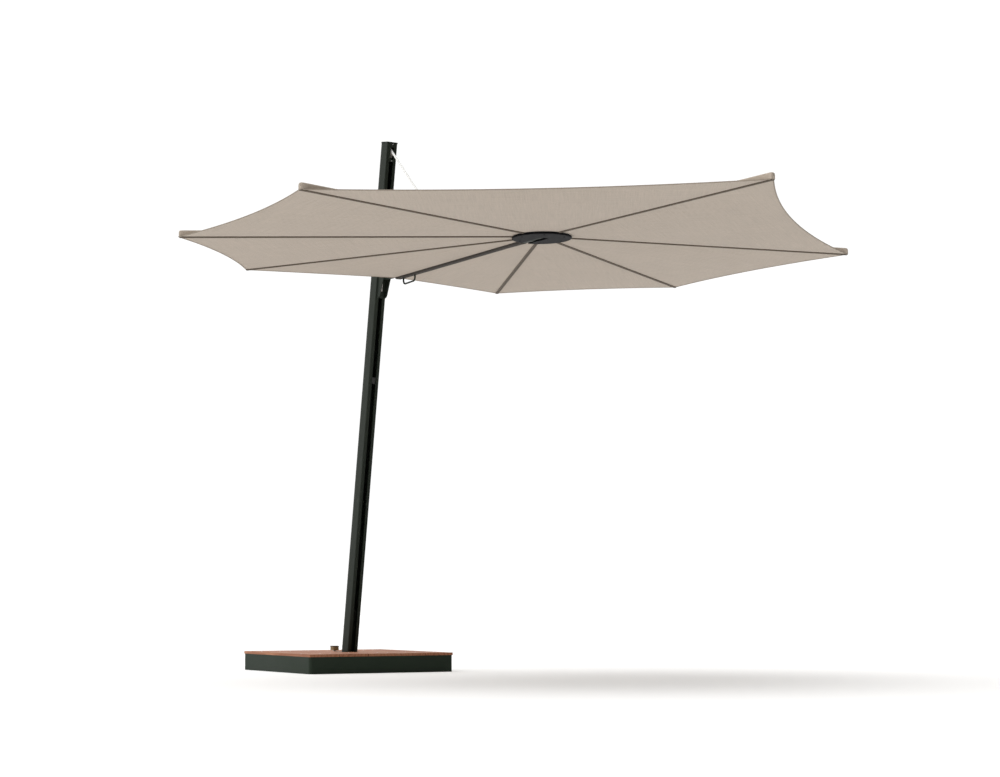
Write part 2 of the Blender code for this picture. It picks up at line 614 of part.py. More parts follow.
# ---- hub ------------------------------------------------------------------------------------------------
def rib_list():
    """(name, azimuth in degrees, tip radius) for every rib, right side first then left."""
    ribs = [("front", *SIDE_RIBS[0])]
    for side, sign in (("right", -1), ("left", 1)):
        for place, (azimuth, reach) in zip(("fore", "mid", "aft"), SIDE_RIBS[1:]):
            ribs.append((f"{side}_{place}", sign * azimuth, reach))
    return ribs


def arm_slot(low, high):
    """Cutter for the slot that the arm's end swings in."""
    behind = DISC_RADIUS + 0.05
    outline = [(-behind, -SLOT_HALF_WIDTH), (SLOT_FRONT - 0.010, -SLOT_HALF_WIDTH),
               (SLOT_FRONT, -SLOT_HALF_WIDTH + 0.010), (SLOT_FRONT, SLOT_HALF_WIDTH - 0.010),
               (SLOT_FRONT - 0.010, SLOT_HALF_WIDTH), (-behind, SLOT_HALF_WIDTH)]
    return prism("cutter", outline, low, high, "z", None, CANOPY_FRAME)


def hub_disc():
    disc = turned("hub_disc", [(0, 0), (DISC_RADIUS - 0.004, 0), (DISC_RADIUS, 0.003),
                               (DISC_RADIUS, DISC_THICKNESS), (0, DISC_THICKNESS)],
                  56, "hub_paint", CANOPY_FRAME)
    cut(disc, arm_slot(-0.02, 0.03))
    for side in (1, -1):
        post = CANOPY_FRAME @ Matrix.Translation((0.0, side * 0.090, 0))
        join(disc, rod("cutter", (0, 0, 0.005), (0, 0, 0.0214), 0.012, None, post, 16))


def hub_casting():
    """Plate and rim above the canopy, with ears for the arm's pin and a pair of lugs for each rib."""
    low = 0.0217
    casting = turned("hub_casting",
                     [(0, low), (CASTING_RADIUS, low), (CASTING_RADIUS, CASTING_TOP),
                      (CASTING_RADIUS - 0.008, CASTING_TOP), (CASTING_RADIUS - 0.008, low + CASTING_PLATE),
                      (0, low + CASTING_PLATE)], 56, "hub_paint", CANOPY_FRAME)
    cut(casting, arm_slot(-0.02, CASTING_TOP - 0.004))
    ear_outline = [(-0.022, low + 0.001), (0.022, low + 0.001), (0.022, 0.036), (0.012, 0.044),
                   (-0.012, 0.044), (-0.022, 0.036)]
    for side in (1, -1):
        inner, outer = side * 0.0165, side * 0.0345
        join(casting, prism("cutter", ear_outline, inner, outer, "y", None, CANOPY_FRAME))
    for _, azimuth, _ in rib_list():
        turn = CANOPY_FRAME @ Matrix.Rotation(math.radians(azimuth), 4, "Z")
        for side in (1, -1):
            inner, outer = side * (RIB_WIDTH / 2 + 0.001), side * (RIB_WIDTH / 2 + 0.006)
            lug = [(CASTING_RADIUS - 0.006, low + 0.002), (RIB_HINGE_RADIUS, low + 0.002),
                   (RIB_HINGE_RADIUS + 0.009, RIB_HINGE_HEIGHT - 0.004),
                   (RIB_HINGE_RADIUS + 0.009, RIB_HINGE_HEIGHT + 0.006),
                   (RIB_HINGE_RADIUS, CASTING_TOP - 0.008), (CASTING_RADIUS - 0.006, CASTING_TOP - 0.004)]
            join(casting, prism("cutter", lug, inner, outer, "y", None, turn))
    pin = HUB_ABOVE_DISC
    cut(casting, rod("cutter", (0, -0.1, pin), (0, 0.1, pin), ARM_PIN_RADIUS + GAP, None, CANOPY_FRAME))
    rod("hub_pin", (0, -0.034, pin), (0, 0.034, pin), ARM_PIN_RADIUS, "steel", CANOPY_FRAME)


def hub_cap():
    """A low dome that closes the casting above the canopy."""
    low = CASTING_TOP + GAP
    dome = [(CASTING_RADIUS, low), (CASTING_RADIUS, low + 0.004),
            *((CASTING_RADIUS * math.cos(a), low + 0.004 + 0.020 * math.sin(a))
              for a in (math.radians(18 * k) for k in range(1, 5)))]
    turned("hub_cap", [(0, low), *dome, (0, low + 0.024)], 40, "hub_paint", CANOPY_FRAME)


# ---- ribs and canopy --------------------------------------------------------------------------------------
def rib_frame(azimuth, reach):
    """Frame at a rib's hinge, x out along the rib as it droops to the canopy's tip."""
    fall = CANOPY_HUB_HEIGHT - CANOPY_TIP_HEIGHT
    droop = math.atan2(fall, reach - RIB_HINGE_RADIUS)
    return (CANOPY_FRAME @ Matrix.Rotation(math.radians(azimuth), 4, "Z")
            @ Matrix.Translation((RIB_HINGE_RADIUS, 0, RIB_HINGE_HEIGHT)) @ Matrix.Rotation(droop, 4, "Y"))


def rib_outline(width, height, corner):
    return rounded_box(width / 2, height / 2, corner, 2)


def rib(name, azimuth, reach):
    frame = rib_frame(azimuth, reach)
    length = reach - RIB_HINGE_RADIUS - RIB_TIP_INSET
    outer = rib_outline(RIB_WIDTH, RIB_HEIGHT, 0.009)
    inner = rib_outline(RIB_WIDTH - 2 * RIB_WALL, RIB_HEIGHT - 2 * RIB_WALL, 0.007)
    bar = tube(f"rib_{name}", outer, inner, -0.013, length, "rib_paint", frame)
    cut(bar, rod("cutter", (0, -0.1, 0), (0, 0.1, 0), RIB_PIN_RADIUS, None, frame, 12))


def canopy_tips():
    """Tips of the canopy in its own frame, in order round from the rear corner."""
    tips = [(180.0, REAR_CORNER, REAR_CORNER_DROP)]
    tips += [(-a, r, CANOPY_TIP_HEIGHT) for a, r in SIDE_RIBS[:0:-1]]
    tips += [(a, r, CANOPY_TIP_HEIGHT) for a, r in SIDE_RIBS]
    tips.append((180.0, REAR_CORNER, REAR_CORNER_DROP))
    return tips


def gore_point(start, end, across, along):
    """A point on the gore between two tips: across 0..1 from start to end, along 0..1 outwards."""
    def polar(azimuth, radius, height):
        angle = math.radians(azimuth)
        return Vector((radius * math.cos(angle), radius * math.sin(angle), height))
    first, last = start[0], end[0]
    if first == 180.0:
        first = -180.0
    hub = polar(first + (last - first) * across, CANOPY_INNER, CANOPY_HUB_HEIGHT)
    tip_a, tip_b = polar(*start), polar(*end)
    span = tip_b - tip_a
    inward = Vector((-span.y, span.x, 0)).normalized()
    share = REAR_SAG if 180.0 in (start[0], end[0]) else CANOPY_SAG
    edge = tip_a.lerp(tip_b, across) + inward * (4 * across * (1 - across) * share * span.length)
    return hub.lerp(edge, along)


def half_gore_strip(start, end, from_share, to_share):
    """Rows of points (hub to edge) across part of a gore."""
    rows = []
    for i in range(EDGE_STEPS + 1):
        across = from_share + (to_share - from_share) * i / EDGE_STEPS
        rows.append([gore_point(start, end, across, 0.0), gore_point(start, end, across, 1.0)])
    return rows


def canopy_sector(name, rows):
    """A thin closed sheet through rows of (hub, edge) points."""
    bm = bmesh.new()
    thickness = Vector((0, 0, CANOPY_THICKNESS))
    low = [[bm.verts.new(point) for point in row] for row in rows]
    high = [[bm.verts.new(point + thickness) for point in row] for row in rows]
    for sheet in (low, high):
        for here, there in zip(sheet, sheet[1:]):
            bm.faces.new((here[0], here[1], there[1], there[0]))
    for side in (0, 1):
        for k in range(len(rows) - 1):
            bm.faces.new((low[k][side], low[k + 1][side], high[k + 1][side], high[k][side]))
    for end in (0, -1):
        bm.faces.new((low[end][0], low[end][1], high[end][1], high[end][0]))
    return add_object(name, bm, "canopy_fabric", CANOPY_FRAME)


def canopy():
    """Each rib carries the canopy from mid-gore to mid-gore; the arm carries the two rear strips."""
    tips = canopy_tips()
    names = {azimuth: name for name, azimuth, _ in rib_list()}
    seam = 0.0008
    for before, here, after in zip(tips, tips[1:], tips[2:]):
        rows = half_gore_strip(before, here, 0.5 + seam, 1.0)
        rows += half_gore_strip(here, after, 0.0, 0.5 - seam)[1:]
        canopy_sector(f"canopy_{names[here[0]]}", rows)
    rear_strip("canopy_rear_right", half_gore_strip(tips[0], tips[1], 0.0, 0.5 - seam))
    rear_strip("canopy_rear_left", half_gore_strip(tips[-2], tips[-1], 0.5 + seam, 1.0))


def rear_strip(name, rows):
    """Half a rear gore with its inner side cut back to the arm's side wall."""
    strip = canopy_sector(name, rows)
    half = ARM_WIDTH / 2 + 0.001
    cut(strip, prism("cutter", [(-0.3, -half), (ARM_REACH, -half), (ARM_REACH, half), (-0.3, half)],
                     -0.2, 0.2, "z", None, ARM_FRAME))


def main():
    clear_scene()
    make_materials()
    base_tray()
    ballast()
    deck()
    bearing()
    pedal_bracket()
    pedal()
    turret()
    mast()
    mast_head()
    track_stop()
    carriage()
    arm()
    rope_lug()
    arm_handle()
    rope()
    hub_disc()
    hub_casting()
    hub_cap()
    for name, azimuth, reach in rib_list():
        rib(name, azimuth, reach)
    canopy()


main()
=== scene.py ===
"""Looks for the cantilever parasol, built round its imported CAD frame.

Metres, +Z up, +X the way the arm reaches. Each piece rides on the CAD body that carries the real one.
"""

import json
import math

import bmesh
import bpy
from mathutils import Matrix, Vector


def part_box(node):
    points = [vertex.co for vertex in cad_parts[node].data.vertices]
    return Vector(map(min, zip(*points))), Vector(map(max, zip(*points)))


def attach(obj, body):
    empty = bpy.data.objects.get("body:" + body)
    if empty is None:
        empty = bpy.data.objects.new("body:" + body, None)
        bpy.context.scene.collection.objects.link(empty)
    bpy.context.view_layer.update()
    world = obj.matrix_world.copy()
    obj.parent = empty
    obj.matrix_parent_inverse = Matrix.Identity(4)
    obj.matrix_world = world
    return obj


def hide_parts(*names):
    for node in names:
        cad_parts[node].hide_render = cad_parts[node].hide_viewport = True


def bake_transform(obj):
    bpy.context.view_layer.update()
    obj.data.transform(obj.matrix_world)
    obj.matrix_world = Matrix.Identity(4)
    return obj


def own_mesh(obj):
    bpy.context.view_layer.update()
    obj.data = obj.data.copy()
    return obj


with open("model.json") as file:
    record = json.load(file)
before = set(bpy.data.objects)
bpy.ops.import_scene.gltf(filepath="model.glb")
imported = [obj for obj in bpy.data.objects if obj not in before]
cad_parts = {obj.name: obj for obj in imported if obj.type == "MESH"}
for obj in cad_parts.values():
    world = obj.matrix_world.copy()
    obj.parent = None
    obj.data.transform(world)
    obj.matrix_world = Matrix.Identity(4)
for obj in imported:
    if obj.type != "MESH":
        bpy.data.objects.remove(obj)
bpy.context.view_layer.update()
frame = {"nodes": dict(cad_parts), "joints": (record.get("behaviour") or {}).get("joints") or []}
NODES = frame["nodes"]
JOINTS = {joint["name"]: joint for joint in frame["joints"]}

# ---- dimensions ------------------------------------------------------------------------------
CAMERA_PLACE = (12.522, -7.594, 0.490)
CAMERA_PITCH = math.radians(95.236)
CAMERA_HEADING = math.radians(54.9)
CAMERA_LENS = 80.88
CAMERA_SENSOR = 36.0
FLOOR_HALF = 220.0

BASE_TURN = math.radians(-5)
BOARD_COUNT, BOARD_PITCH = 5, 0.2016
DECK_TOP = 0.121
BATTEN_OFFSET = 0.300
DECK_SCREW_OFFSET = 0.065       # from a board's middle line
DECK_SCREW_SINK = 0.0012

MAST_LEAN = math.radians(7.95)
MAST_TOP = 3.414                # along the mast
MAST_FRONT = 0.0505             # flat front ahead of the mast's middle plane
SHEAVE_FORWARD = 0.016
SHEAVE_DROP = 0.070
SHEAVE_GROOVE = 0.028
HEAD_PLATE_RAISE = 0.002
HEAD_PLATE_FACE = MAST_FRONT + 0.0043
HEAD_SCREW_HEIGHTS = (-0.052, 0.053)
WEAR_STRIP_WIDTH = (-0.005, 0.002)
WEAR_STRIP_FALL = (-0.097, -0.017)      # its ends, below the arm's pivot
WEAR_STRIP_THICKNESS = 0.004
BRACKET_FACE = MAST_FRONT + 0.0072      # front of the bracket's base plate

ARM_RISE = math.radians(1.607)
ARM_HALF = 0.022
LUG_REACH = 0.8109
LUG_EYE = 0.0373                # eye's centre above the arm's middle line
LUG_PIN_SECTION = ((0.0, -0.0115), (0.0125, -0.0115), (0.0135, -0.0080), (0.0040, -0.0075),
                   (0.0040, 0.0075), (0.0135, 0.0080), (0.0125, 0.0115), (0.0, 0.0115))

CANOPY_TILT = math.radians(1.375)
HUB_ABOVE_DISC = 0.0264
DISC_RADIUS, DISC_SCREW_CIRCLE = 0.174, 0.140
SIDE_RIBS = ((0.0, 1.990), (74.6, 1.987), (118.8, 2.080), (152.3, 2.040))   # azimuth deg, tip radius
RIB_NAMES = ("fore", "mid", "aft")
REAR_CORNER, REAR_DROP = 1.545, -0.012
CANOPY_INNER = 0.166
HUB_HEIGHT, TIP_HEIGHT = 0.0132, -0.001
SIDE_HOLLOW, REAR_HOLLOW = 0.045, 0.015
FABRIC_LIFT = 0.0012            # sheet's middle above the underside of the CAD sheet
FABRIC_SAG = 0.008              # droop between ribs, as a share of the gore's width
GORE_STEPS, HALF_GORE_COLUMNS = 30, 14
REAR_COLUMNS, REAR_CROWDING = 22, 1.7   # the rear panels' columns crowd towards the arm
BINDING_RADIUS = 0.0030
SLIT_HALF = ARM_HALF + 0.0015   # the sheet is open along the arm, which passes through it

RIB_WIDTH = 0.024
RIB_HINGE_RADIUS, RIB_RUN = 0.197, 1.83
BAND_STEPS, BAND_HALF = 60, 0.0110
BAND_SECTION = ((-1.0, 0.0006), (-0.92, -0.0030), (-0.5, -0.0050), (0.0, -0.0056),
                (0.5, -0.0050), (0.92, -0.0030), (1.0, 0.0006))        # share of half width, height
COVER_HALF, COVER_DROP, COVER_CLEARANCE = 0.027, 0.010, 0.0015
COVER_SECTION = ((-1.0, 0.0), (-0.82, 0.75), (-0.62, 1.0), (0.0, 1.06),
                 (0.62, 1.0), (0.82, 0.75), (1.0, 0.0))                # share of half width, of depth
POCKET_LENGTH, POCKET_LOW, POCKET_TOP = 0.265, 0.0016, 0.0385
POCKET_EASE, POCKET_CORNER = 0.0022, 0.010
POCKET_STATIONS = ((0.0, 1.10, 1.02), (0.006, 1.02, 1.00), (0.20, 1.0, 1.0), (0.93, 1.0, 1.0),
                   (0.965, 0.98, 0.985), (0.985, 0.93, 0.94),
                   (0.996, 0.80, 0.84), (1.0, 0.55, 0.66))             # share of length, width, height

ROPE_RADIUS = 0.007
ROPE_END_GAP = 0.012            # upper strand's end to the eye's centre
WHIPPING_LENGTH, WHIPPING_INSET, WHIPPING_THICKNESS = 0.052, 0.010, 0.0012
ROPE_WRAP = 0.63                # radians of rope on the sheave that swing with the upper strand

ARM_PIVOT = Vector(JOINTS["arm_swing"]["pos_m"])
HUB_PIN = Vector(JOINTS["hub_level"]["pos_m"])
BASE = Matrix.Rotation(BASE_TURN, 4, "Z")
MAST = Matrix.Rotation(MAST_LEAN, 4, "Y")
ARM = Matrix.Translation(ARM_PIVOT) @ Matrix.Rotation(-ARM_RISE, 4, "Y")
CANOPY = (Matrix.Translation(HUB_PIN) @ Matrix.Rotation(-CANOPY_TILT, 4, "Y")
          @ Matrix.Translation((0, 0, -HUB_ABOVE_DISC)))


# ---- shader helpers ---------------------------------------------------------------------------
class Graph:
    """A material's nodes, written as short calls that return output sockets."""

    def __init__(self, name, colour, roughness, metallic=0.0, specular=0.5):
        self.material = bpy.data.materials.new(name)
        self.material.use_nodes = True
        self.tree = self.material.node_tree
        self.shader = self.tree.nodes["Principled BSDF"]
        self.shader.inputs["Base Color"].default_value = (*colour, 1)
        self.shader.inputs["Roughness"].default_value = roughness
        self.shader.inputs["Metallic"].default_value = metallic
        self.shader.inputs["Specular IOR Level"].default_value = specular

    def feed(self, socket, value):
        if isinstance(value, bpy.types.NodeSocket):
            self.tree.links.new(value, socket)
        elif isinstance(value, tuple) and socket.type == "RGBA":
            socket.default_value = (*value, 1)
        else:
            socket.default_value = value

    def place(self, scale=(1, 1, 1), turn=0.0, uv=False):
        coordinates = self.tree.nodes.new("ShaderNodeTexCoord")
        mapping = self.tree.nodes.new("ShaderNodeMapping")
        mapping.inputs["Rotation"].default_value = (0, 0, turn)
        mapping.inputs["Scale"].default_value = scale
        self.tree.links.new(coordinates.outputs["UV" if uv else "Object"], mapping.inputs["Vector"])
        return mapping.outputs["Vector"]

    def noise(self, vector, scale, detail=3.0, roughness=0.5):
        node = self.tree.nodes.new("ShaderNodeTexNoise")
        self.feed(node.inputs["Vector"], vector)
        node.inputs["Scale"].default_value = scale
        node.inputs["Detail"].default_value = detail
        node.inputs["Roughness"].default_value = roughness
        return node.outputs["Fac"]

    def wave(self, vector, scale, distortion, detail=2.0, detail_scale=1.0):
        node = self.tree.nodes.new("ShaderNodeTexWave")
        node.bands_direction = "Y"
        self.feed(node.inputs["Vector"], vector)
        node.inputs["Scale"].default_value = scale
        node.inputs["Distortion"].default_value = distortion
        node.inputs["Detail"].default_value = detail
        node.inputs["Detail Scale"].default_value = detail_scale
        return node.outputs["Fac"]

    def math(self, operation, first, second=0.0):
        node = self.tree.nodes.new("ShaderNodeMath")
        node.operation = operation
        self.feed(node.inputs[0], first)
        self.feed(node.inputs[1], second)
        return node.outputs[0]

    def split(self, vector):
        node = self.tree.nodes.new("ShaderNodeSeparateXYZ")
        self.feed(node.inputs[0], vector)
        return node.outputs

    def remap(self, value, low, high, out_low, out_high):
        node = self.tree.nodes.new("ShaderNodeMapRange")
        for socket, number in zip(node.inputs, (value, low, high, out_low, out_high)):
            self.feed(socket, number)
        return node.outputs[0]

    def mix(self, share, first, second):
        node = self.tree.nodes.new("ShaderNodeMix")
        node.data_type = "RGBA"
        self.feed(node.inputs[0], share)
        self.feed(node.inputs[6], first)
        self.feed(node.inputs[7], second)
        return node.outputs[2]

    def ramp(self, value, stops):
        node = self.tree.nodes.new("ShaderNodeValToRGB")
        elements = node.color_ramp.elements
        while len(elements) < len(stops):
            elements.new(0.5)
        for element, (position, colour) in zip(elements, stops):
            element.position = position
            element.color = (*colour, 1)
        self.feed(node.inputs[0], value)
        return node.outputs[0]

    def bump(self, height, strength, distance):
        node = self.tree.nodes.new("ShaderNodeBump")
        node.inputs["Strength"].default_value = strength
        node.inputs["Distance"].default_value = distance
        self.feed(node.inputs["Height"], height)
        return node.outputs["Normal"]

    def finish(self, colour, roughness, normal):
        for socket, value in (("Base Color", colour), ("Roughness", roughness), ("Normal", normal)):
            if value is not None:
                self.feed(self.shader.inputs[socket], value)
        return self.material


def shade(colour, factor):
    return tuple(min(1.0, channel * factor) for channel in colour)


# ---- materials --------------------------------------------------------------------------------
def powder_coat(name, colour, roughness, grain, specular=0.5):
    """Fine-textured paint: orange peel with high spots painted pale as a painted highlight, and faint
    cloudiness.
    """
    g = Graph(name, colour, roughness, 0.0, specular)
    here = g.place()
    cloud = g.noise(here, 5.0, 4.0)
    peel = g.noise(here, grain, 2.0, 0.6)
    tint = g.mix(cloud, shade(colour, 0.86), shade(colour, 1.16))
    # painted highlight: the peel's high spots are mixed towards a paler copy of the colour
    tint = g.mix(g.remap(peel, 0.45, 0.8, 0.0, 0.35), tint, shade(colour, 1.7))
    rough = g.remap(g.math("ADD", cloud, peel), 0.6, 1.4, roughness - 0.06, roughness + 0.10)
    return g.finish(tint, rough, g.bump(peel, 0.22, 0.0006))


def plain_metal(name, colour, roughness):
    """Machined metal with fine brushed lines and light handling marks."""
    g = Graph(name, colour, roughness, 1.0)
    lines = g.noise(g.place((60, 60, 900)), 3.0, 4.0, 0.6)
    marks = g.noise(g.place(), 35.0, 5.0, 0.6)
    tint = g.mix(g.remap(marks, 0.4, 0.75, 0.0, 0.5), colour, shade(colour, 0.72))
    rough = g.remap(lines, 0.3, 0.7, roughness - 0.07, roughness + 0.12)
    return g.finish(tint, rough, g.bump(lines, 0.15, 0.0003))


def moulded(name, colour, roughness):
    """Moulded plastic or rubber with a fine spark-eroded grain."""
    g = Graph(name, colour, roughness, 0.0, 0.4)
    here = g.place()
    grain_height = g.noise(here, 700.0, 2.0)
    patch = g.noise(here, 14.0, 3.0)
    tint = g.mix(patch, shade(colour, 0.85), shade(colour, 1.25))
    return g.finish(tint, g.remap(patch, 0.3, 0.7, roughness - 0.05, roughness + 0.08),
                    g.bump(grain_height, 0.2, 0.0004))


def deck_teak():
    """Oiled hardwood boards: each has its own tone, long wavy rings, fibres and dark pores."""
    g = Graph("deck_teak", (0.30, 0.125, 0.062), 0.62, 0.0, 0.28)
    boards = g.place(turn=-BASE_TURN)
    x, y, z = g.split(boards)
    number = g.math("FLOOR", g.math("DIVIDE", g.math("ADD", y, 0.5), BOARD_PITCH))
    shift = g.math("MULTIPLY", number, 7.31)
    combine = g.tree.nodes.new("ShaderNodeCombineXYZ")
    g.feed(combine.inputs[0], g.math("ADD", g.math("MULTIPLY", x, 0.55), shift))
    g.feed(combine.inputs[1], g.math("ADD", g.math("MULTIPLY", y, 7.0), shift))
    g.feed(combine.inputs[2], g.math("MULTIPLY", z, 9.0))
    along = combine.outputs[0]
    rings = g.wave(along, 1.5, 9.0, 3.0, 1.3)
    fibres = g.noise(g.place((6, 260, 260), -BASE_TURN), 1.0, 5.0, 0.65)
    pores = g.noise(g.place((22, 900, 900), -BASE_TURN), 1.0, 2.0, 0.6)
    tone = g.tree.nodes.new("ShaderNodeTexWhiteNoise")
    tone.noise_dimensions = "1D"
    g.feed(tone.inputs["W"], number)
    wood = g.ramp(rings, [(0.0, (0.235, 0.088, 0.043)), (0.45, (0.330, 0.135, 0.068)),
                          (0.75, (0.400, 0.180, 0.096)), (1.0, (0.290, 0.112, 0.056))])
    wood = g.mix(g.remap(fibres, 0.35, 0.7, 0.0, 0.45), wood, (0.19, 0.072, 0.036))
    wood = g.mix(g.remap(pores, 0.62, 0.75, 0.0, 0.7), wood, (0.10, 0.038, 0.02))
    wood = g.mix(g.remap(tone.outputs["Value"], 0.0, 1.0, 0.0, 0.30), wood, (0.42, 0.20, 0.11))
    pits = g.remap(pores, 0.62, 0.75, 0.0, 0.8)
    height = g.math("SUBTRACT", g.math("MULTIPLY", fibres, 0.6), pits)
    return g.finish(wood, g.remap(fibres, 0.3, 0.7, 0.55, 0.75), g.bump(height, 0.35, 0.0008))


def tread_wood():
    """Golden-brown wood of the pedal's tread, with fine lines along it."""
    g = Graph("tread_oak", (0.26, 0.18, 0.085), 0.6, 0.0, 0.3)
    lines = g.noise(g.place((30, 420, 420)), 1.0, 4.0, 0.6)
    rings = g.wave(g.place((3, 90, 60)), 1.0, 6.0)
    tint = g.mix(rings, (0.200, 0.140, 0.064), (0.285, 0.205, 0.098))
    tint = g.mix(g.remap(lines, 0.4, 0.7, 0.0, 0.55), tint, (0.12, 0.078, 0.036))
    return g.finish(tint, g.remap(lines, 0.3, 0.7, 0.5, 0.68), g.bump(lines, 0.3, 0.0005))


def cast_stone():
    """Rough cast concrete with aggregate specks and pin holes."""
    g = Graph("ballast_stone", (0.34, 0.33, 0.31), 0.9, 0.0, 0.25)
    here = g.place()
    patch = g.noise(here, 7.0, 5.0, 0.6)
    speck = g.noise(here, 160.0, 2.0)
    holes = g.noise(here, 60.0, 1.0)
    tint = g.mix(patch, (0.27, 0.26, 0.245), (0.40, 0.39, 0.37))
    tint = g.mix(g.remap(speck, 0.55, 0.7, 0.0, 0.5), tint, (0.20, 0.195, 0.185))
    pits = g.remap(holes, 0.68, 0.72, 0.0, 1.0)
    height = g.math("SUBTRACT", g.math("MULTIPLY", speck, 0.3), pits)
    return g.finish(tint, None, g.bump(height, 0.5, 0.0012))


def canopy_cloth(colour, thread=0.0016, slub=0.10):
    """Solution-dyed acrylic: plain weave with painted light and shade on its crossings, slubby yarns both
    ways, and a faint watered sheen.
    """
    g = Graph("canopy_acrylic", colour, 0.88, 0.0, 0.22)
    g.shader.inputs["Sheen Weight"].default_value = 0.12
    g.shader.inputs["Sheen Roughness"].default_value = 0.45
    u, v, _ = g.split(g.place(uv=True))
    per_metre = math.pi / thread
    warp = g.math("SINE", g.math("MULTIPLY", u, per_metre))
    weft = g.math("SINE", g.math("MULTIPLY", v, per_metre))
    weave = g.math("MULTIPLY", warp, weft)
    warp_slub = g.noise(g.place((150, 3.5, 1), uv=True), 1.0, 3.0, 0.6)
    weft_slub = g.noise(g.place((3.5, 150, 1), uv=True), 1.0, 3.0, 0.6)
    slubs = g.math("ADD", warp_slub, weft_slub)
    water = watered(g, u, v)
    patch = g.noise(g.place(uv=True), 1.7)
    tone = g.remap(slubs, 0.75, 1.25, 1 - slub, 1 + slub)
    tone = g.math("MULTIPLY", tone, g.remap(water, -1.0, 1.0, 0.975, 1.025))
    # painted light and shade of the weave: lighter where the weave's bump rises, darker where it sinks
    tone = g.math("MULTIPLY", tone, g.remap(weave, -1.0, 1.0, 0.93, 1.07))
    tone = g.math("MULTIPLY", tone, g.remap(patch, 0.3, 0.7, 0.98, 1.02))
    scaled = g.tree.nodes.new("ShaderNodeVectorMath")
    scaled.operation = "SCALE"
    scaled.inputs[0].default_value = colour
    g.feed(scaled.inputs["Scale"], tone)
    height = g.math("ADD", g.math("MULTIPLY", weave, 0.5), slubs)
    return g.finish(scaled.outputs[0], None, g.bump(height, 0.30, 0.0006))


def watered(g, u, v):
    """The slow beat between two fine gratings, as a moire silk or a tight weave shows."""
    bend = g.noise(g.place((0.9, 0.9, 1), uv=True), 1.0, 2.0)
    along = g.math("ADD", v, g.math("MULTIPLY", bend, 0.9))
    across = g.math("ADD", u, g.math("MULTIPLY", bend, 0.5))
    fine = g.math("SINE", g.math("MULTIPLY", along, 150.0))
    cross = g.math("SINE", g.math("MULTIPLY", across, 118.0))
    return g.math("MULTIPLY", fine, cross)


def webbing(name, colour, stitch):
    """Woven reinforcement band: slanting twill ribs, light wear, and a row of stitches on each side."""
    g = Graph(name, colour, 0.8, 0.0, 0.25)
    twill_pitch, stitch_pitch, stitch_row, half_thread = 0.0024, 0.0045, 0.0080, 0.0006
    u, v, _ = g.split(g.place(uv=True))
    twill = g.math("SINE", g.math("MULTIPLY", g.math("ADD", u, v), 2 * math.pi / twill_pitch))
    wear = g.noise(g.place((1, 14, 1), uv=True), 4.0, 4.0, 0.6)
    off = g.math("ABSOLUTE", g.math("SUBTRACT", g.math("ABSOLUTE", u), stitch_row))
    line = g.math("LESS_THAN", off, half_thread)
    beat = g.math("SINE", g.math("MULTIPLY", v, 2 * math.pi / stitch_pitch))
    sewn = g.math("MULTIPLY", line, g.math("GREATER_THAN", beat, -0.35))
    tint = g.mix(g.remap(twill, -1.0, 1.0, 0.0, 0.35), colour, shade(colour, 0.6))
    tint = g.mix(g.remap(wear, 0.3, 0.7, 0.0, 0.35), tint, shade(colour, 1.35))
    tint = g.mix(sewn, tint, stitch)
    height = g.math("ADD", g.math("MULTIPLY", twill, 0.4), sewn)
    return g.finish(tint, None, g.bump(height, 0.4, 0.0006))


def braid(colour):
    """Double-braided polyester: diamond plait round the rope, grooves painted darker as painted shade, and
    a little grime.
    """
    g = Graph("braided_rope", colour, 0.75, 0.0, 0.3)
    u, v, _ = g.split(g.place(uv=True))
    turns = g.math("MULTIPLY", u, 16 * math.pi)
    rise = g.math("MULTIPLY", v, 620.0)
    left = g.math("SINE", g.math("ADD", turns, rise))
    right = g.math("SINE", g.math("SUBTRACT", turns, rise))
    plait = g.math("MAXIMUM", left, right)
    grime = g.noise(g.place((1, 6, 1), uv=True), 3.0, 4.0, 0.6)
    # painted shade: the grooves between the plait's strands are mixed towards a darker copy of the colour
    tint = g.mix(g.remap(plait, -0.4, 0.7, 0.0, 1.0), shade(colour, 0.90), colour)
    tint = g.mix(g.remap(grime, 0.45, 0.75, 0.0, 0.35), tint, shade(colour, 0.75))
    return g.finish(tint, None, g.bump(plait, 0.5, 0.0008))


def hub_finish(colour):
    """Textured casting paint with turning marks round the hub; marks and grain high spots painted lighter
    as painted highlights.
    """
    g = Graph("hub_paint", colour, 0.62, 0.0, 0.02)
    here = g.place()
    x, y, _ = g.split(here)
    dx = g.math("SUBTRACT", x, HUB_PIN.x)
    radius = g.math("SQRT", g.math("ADD", g.math("MULTIPLY", dx, dx), g.math("MULTIPLY", y, y)))
    ring_pitch = 0.009
    rings = g.math("SINE", g.math("MULTIPLY", radius, 2 * math.pi / ring_pitch))
    grain = g.noise(here, 520.0, 2.0, 0.6)
    # painted highlights: the turning rings and the grain's high spots are mixed towards lighter copies of
    # the colour
    tint = g.mix(g.remap(rings, 0.2, 1.0, 0.0, 0.30), colour, shade(colour, 1.6))
    tint = g.mix(g.remap(grain, 0.45, 0.8, 0.0, 0.35), tint, shade(colour, 1.8))
    height = g.math("ADD", grain, g.math("MULTIPLY", rings, 0.35))
    return g.finish(tint, g.remap(grain, 0.3, 0.7, 0.44, 0.60), g.bump(height, 0.25, 0.0006))


